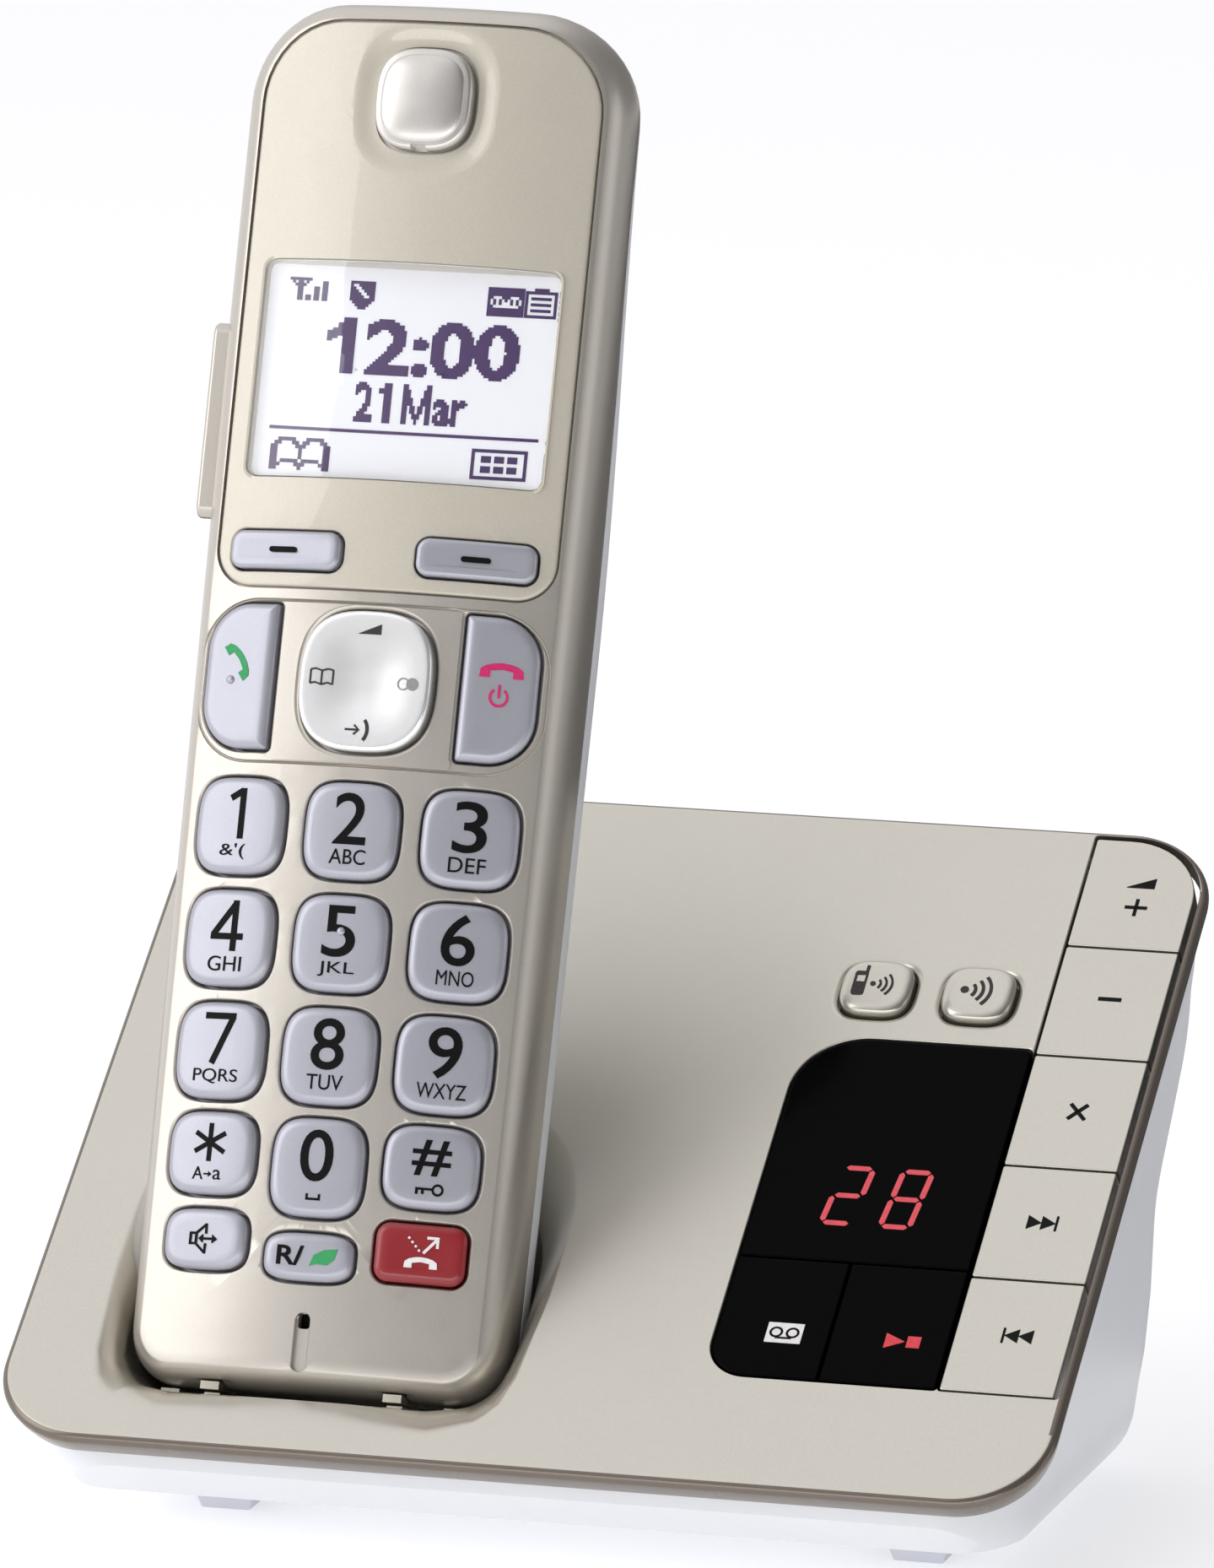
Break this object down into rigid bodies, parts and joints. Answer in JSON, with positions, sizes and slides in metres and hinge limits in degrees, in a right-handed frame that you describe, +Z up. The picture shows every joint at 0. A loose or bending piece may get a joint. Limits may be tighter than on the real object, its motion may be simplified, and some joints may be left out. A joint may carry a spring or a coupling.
{
  "type": "cordless telephone with answering base",
  "caption": "Cordless telephone handset with keypad and screen standing in a sloped charging base with a display and answering machine keys.",
  "frame": {"origin": "on the table under the middle of the whole object's box", "axes": "+X to the user's right, +Y away from the user, +Z up; the sloped panel and the keypad face -Y"},
  "size_m": [0.136, 0.0932, 0.1833],
  "materials": {
    "champagne_panel": "fine metallic champagne paint, satin",
    "silver_shell": "fine metallic warm silver paint, satin",
    "white_plastic": "semi-gloss white",
    "keycap": "satin cool grey with a fine metallic flake",
    "chrome_trim": "radially brushed plating",
    "red_keycap": "translucent dark red",
    "clear_window": "clear, polished",
    "screen": "backlit white",
    "gloss_black": "polished black",
    "led_block": "dark red",
    "black_plastic": "matte",
    "circuit_board": "solder mask green",
    "dome_sheet": "translucent film",
    "contact_metal": "plated, bright",
    "battery_cell": "printed sleeve, no lettering",
    "white_rubber": "matte"
  },
  "bodies": {
    "base": {"base_top_panel": "champagne_panel", "base_bottom_housing": "white_plastic", "display_lens": "gloss_black", "led_display": "led_block", "base_circuit_board": "circuit_board", "base_loudspeaker": "black_plastic", "line_jack": "black_plastic", "dc_inlet": "black_plastic", "cradle_contact_left": "contact_metal", "cradle_contact_right": "contact_metal", "front_left_foot": "white_rubber", "front_right_foot": "white_rubber", "rear_left_foot": "white_rubber", "rear_right_foot": "white_rubber"},
    "handset": {"handset_front_shell": "silver_shell", "handset_rear_shell": "white_plastic", "window_panel": "clear_window", "lcd_module": "screen", "earpiece_cap": "chrome_trim", "receiver_speaker": "black_plastic", "ringer_loudspeaker": "black_plastic", "handset_microphone": "black_plastic", "handset_circuit_board": "circuit_board", "keypad_dome_sheet": "dome_sheet", "battery_cell_left": "battery_cell", "battery_cell_right": "battery_cell", "battery_contact_bridge": "contact_metal", "charge_contact_left": "contact_metal", "charge_contact_right": "contact_metal"},
    "battery_cover": {"battery_cover": "white_plastic"},
    "navigator_key": {"navigator_key": "chrome_trim"},
    "side_volume_key": {"side_volume_key": "silver_shell"},
    "key_1": {"key_1": "keycap"},
    "key_2": {"key_2": "keycap"},
    "key_3": {"key_3": "keycap"},
    "key_4": {"key_4": "keycap"},
    "key_5": {"key_5": "keycap"},
    "key_6": {"key_6": "keycap"},
    "key_7": {"key_7": "keycap"},
    "key_8": {"key_8": "keycap"},
    "key_9": {"key_9": "keycap"},
    "key_star": {"key_star": "keycap"},
    "key_0": {"key_0": "keycap"},
    "key_hash": {"key_hash": "keycap"},
    "speakerphone_key": {"speakerphone_key": "keycap"},
    "recall_key": {"recall_key": "keycap"},
    "call_block_key": {"call_block_key": "red_keycap"},
    "talk_key": {"talk_key": "keycap"},
    "off_key": {"off_key": "keycap"},
    "soft_key_left": {"soft_key_left": "keycap"},
    "soft_key_right": {"soft_key_right": "keycap"},
    "skip_back_key": {"skip_back_key": "champagne_panel"},
    "skip_forward_key": {"skip_forward_key": "champagne_panel"},
    "erase_key": {"erase_key": "champagne_panel"},
    "volume_down_key": {"volume_down_key": "champagne_panel"},
    "volume_up_key": {"volume_up_key": "champagne_panel"},
    "answer_key": {"answer_key": "gloss_black"},
    "play_stop_key": {"play_stop_key": "gloss_black"},
    "intercom_key": {"intercom_key": "champagne_panel"},
    "locator_key": {"locator_key": "champagne_panel"}
  },
  "joints": [
    {"name": "handset_lift", "type": "slide", "parent": "base", "child": "handset", "axis": [0, 0.342, 0.9397], "range_m": [0, 0.1]},
    {"name": "battery_cover_off", "type": "slide", "parent": "handset", "child": "battery_cover", "axis": [0, 0.9397, -0.342], "range_m": [0, 0.01]},
    {"name": "key_1_press", "type": "slide", "parent": "handset", "child": "key_1", "axis": [0.2013, 0.9205, -0.335], "range_m": [0, 0.0008], "stiffness_N_per_m": 400},
    {"name": "key_2_press", "type": "slide", "parent": "handset", "child": "key_2", "axis": [0, 0.9397, -0.342], "range_m": [0, 0.0008], "stiffness_N_per_m": 400},
    {"name": "key_3_press", "type": "slide", "parent": "handset", "child": "key_3", "axis": [-0.2013, 0.9205, -0.335], "range_m": [0, 0.0008], "stiffness_N_per_m": 400},
    {"name": "key_4_press", "type": "slide", "parent": "handset", "child": "key_4", "axis": [0.2, 0.9207, -0.3351], "range_m": [0, 0.0008], "stiffness_N_per_m": 400},
    {"name": "key_5_press", "type": "slide", "parent": "handset", "child": "key_5", "axis": [0, 0.9397, -0.342], "range_m": [0, 0.0008], "stiffness_N_per_m": 400},
    {"name": "key_6_press", "type": "slide", "parent": "handset", "child": "key_6", "axis": [-0.2, 0.9207, -0.3351], "range_m": [0, 0.0008], "stiffness_N_per_m": 400},
    {"name": "key_7_press", "type": "slide", "parent": "handset", "child": "key_7", "axis": [0.1961, 0.9214, -0.3354], "range_m": [0, 0.0008], "stiffness_N_per_m": 400},
    {"name": "key_8_press", "type": "slide", "parent": "handset", "child": "key_8", "axis": [0, 0.9397, -0.342], "range_m": [0, 0.0008], "stiffness_N_per_m": 400},
    {"name": "key_9_press", "type": "slide", "parent": "handset", "child": "key_9", "axis": [-0.1961, 0.9214, -0.3354], "range_m": [0, 0.0008], "stiffness_N_per_m": 400},
    {"name": "key_star_press", "type": "slide", "parent": "handset", "child": "key_star", "axis": [0.1922, 0.9222, -0.3356], "range_m": [0, 0.0008], "stiffness_N_per_m": 400},
    {"name": "key_0_press", "type": "slide", "parent": "handset", "child": "key_0", "axis": [0, 0.9397, -0.342], "range_m": [0, 0.0008], "stiffness_N_per_m": 400},
    {"name": "key_hash_press", "type": "slide", "parent": "handset", "child": "key_hash", "axis": [-0.1922, 0.9222, -0.3356], "range_m": [0, 0.0008], "stiffness_N_per_m": 400},
    {"name": "speakerphone_key_press", "type": "slide", "parent": "handset", "child": "speakerphone_key", "axis": [0.1883, 0.9229, -0.3359], "range_m": [0, 0.0008], "stiffness_N_per_m": 400},
    {"name": "recall_key_press", "type": "slide", "parent": "handset", "child": "recall_key", "axis": [0, 0.9397, -0.342], "range_m": [0, 0.0008], "stiffness_N_per_m": 400},
    {"name": "call_block_key_press", "type": "slide", "parent": "handset", "child": "call_block_key", "axis": [-0.1883, 0.9229, -0.3359], "range_m": [0, 0.0008], "stiffness_N_per_m": 400},
    {"name": "talk_key_press", "type": "slide", "parent": "handset", "child": "talk_key", "axis": [0.2293, 0.9146, -0.3329], "range_m": [0, 0.0008], "stiffness_N_per_m": 400},
    {"name": "off_key_press", "type": "slide", "parent": "handset", "child": "off_key", "axis": [-0.2243, 0.9158, -0.3333], "range_m": [0, 0.0008], "stiffness_N_per_m": 400},
    {"name": "soft_key_left_press", "type": "slide", "parent": "handset", "child": "soft_key_left", "axis": [0.1701, 0.926, -0.337], "range_m": [0, 0.0008], "stiffness_N_per_m": 400},
    {"name": "soft_key_right_press", "type": "slide", "parent": "handset", "child": "soft_key_right", "axis": [-0.1675, 0.9264, -0.3372], "range_m": [0, 0.0008], "stiffness_N_per_m": 400},
    {"name": "navigator_tilt", "type": "hinge", "parent": "handset", "child": "navigator_key", "pos_m": [-0.0294, -0.00628, 0.10189], "axis": [1, 0, 0], "range_deg": [-3, 3], "stiffness_Nm_per_rad": 0.03},
    {"name": "side_volume_key_press", "type": "slide", "parent": "handset", "child": "side_volume_key", "axis": [1, 0, 0], "range_m": [0, 0.0005], "stiffness_N_per_m": 400},
    {"name": "skip_back_key_press", "type": "slide", "parent": "base", "child": "skip_back_key", "axis": [0, 0.5736, -0.8192], "range_m": [0, 0.0008], "stiffness_N_per_m": 400},
    {"name": "skip_forward_key_press", "type": "slide", "parent": "base", "child": "skip_forward_key", "axis": [0, 0.5736, -0.8192], "range_m": [0, 0.0008], "stiffness_N_per_m": 400},
    {"name": "erase_key_press", "type": "slide", "parent": "base", "child": "erase_key", "axis": [0, 0.5736, -0.8192], "range_m": [0, 0.0008], "stiffness_N_per_m": 400},
    {"name": "volume_down_key_press", "type": "slide", "parent": "base", "child": "volume_down_key", "axis": [0, 0.5736, -0.8192], "range_m": [0, 0.0008], "stiffness_N_per_m": 400},
    {"name": "volume_up_key_press", "type": "slide", "parent": "base", "child": "volume_up_key", "axis": [0, 0.5736, -0.8192], "range_m": [0, 0.0008], "stiffness_N_per_m": 400},
    {"name": "answer_key_press", "type": "slide", "parent": "base", "child": "answer_key", "axis": [0, 0.5736, -0.8192], "range_m": [0, 0.0008], "stiffness_N_per_m": 400},
    {"name": "play_stop_key_press", "type": "slide", "parent": "base", "child": "play_stop_key", "axis": [0, 0.5736, -0.8192], "range_m": [0, 0.0008], "stiffness_N_per_m": 400},
    {"name": "intercom_key_press", "type": "slide", "parent": "base", "child": "intercom_key", "axis": [0, 0.5736, -0.8192], "range_m": [0, 0.0008], "stiffness_N_per_m": 400},
    {"name": "locator_key_press", "type": "slide", "parent": "base", "child": "locator_key", "axis": [0, 0.5736, -0.8192], "range_m": [0, 0.0008], "stiffness_N_per_m": 400}
  ]
}
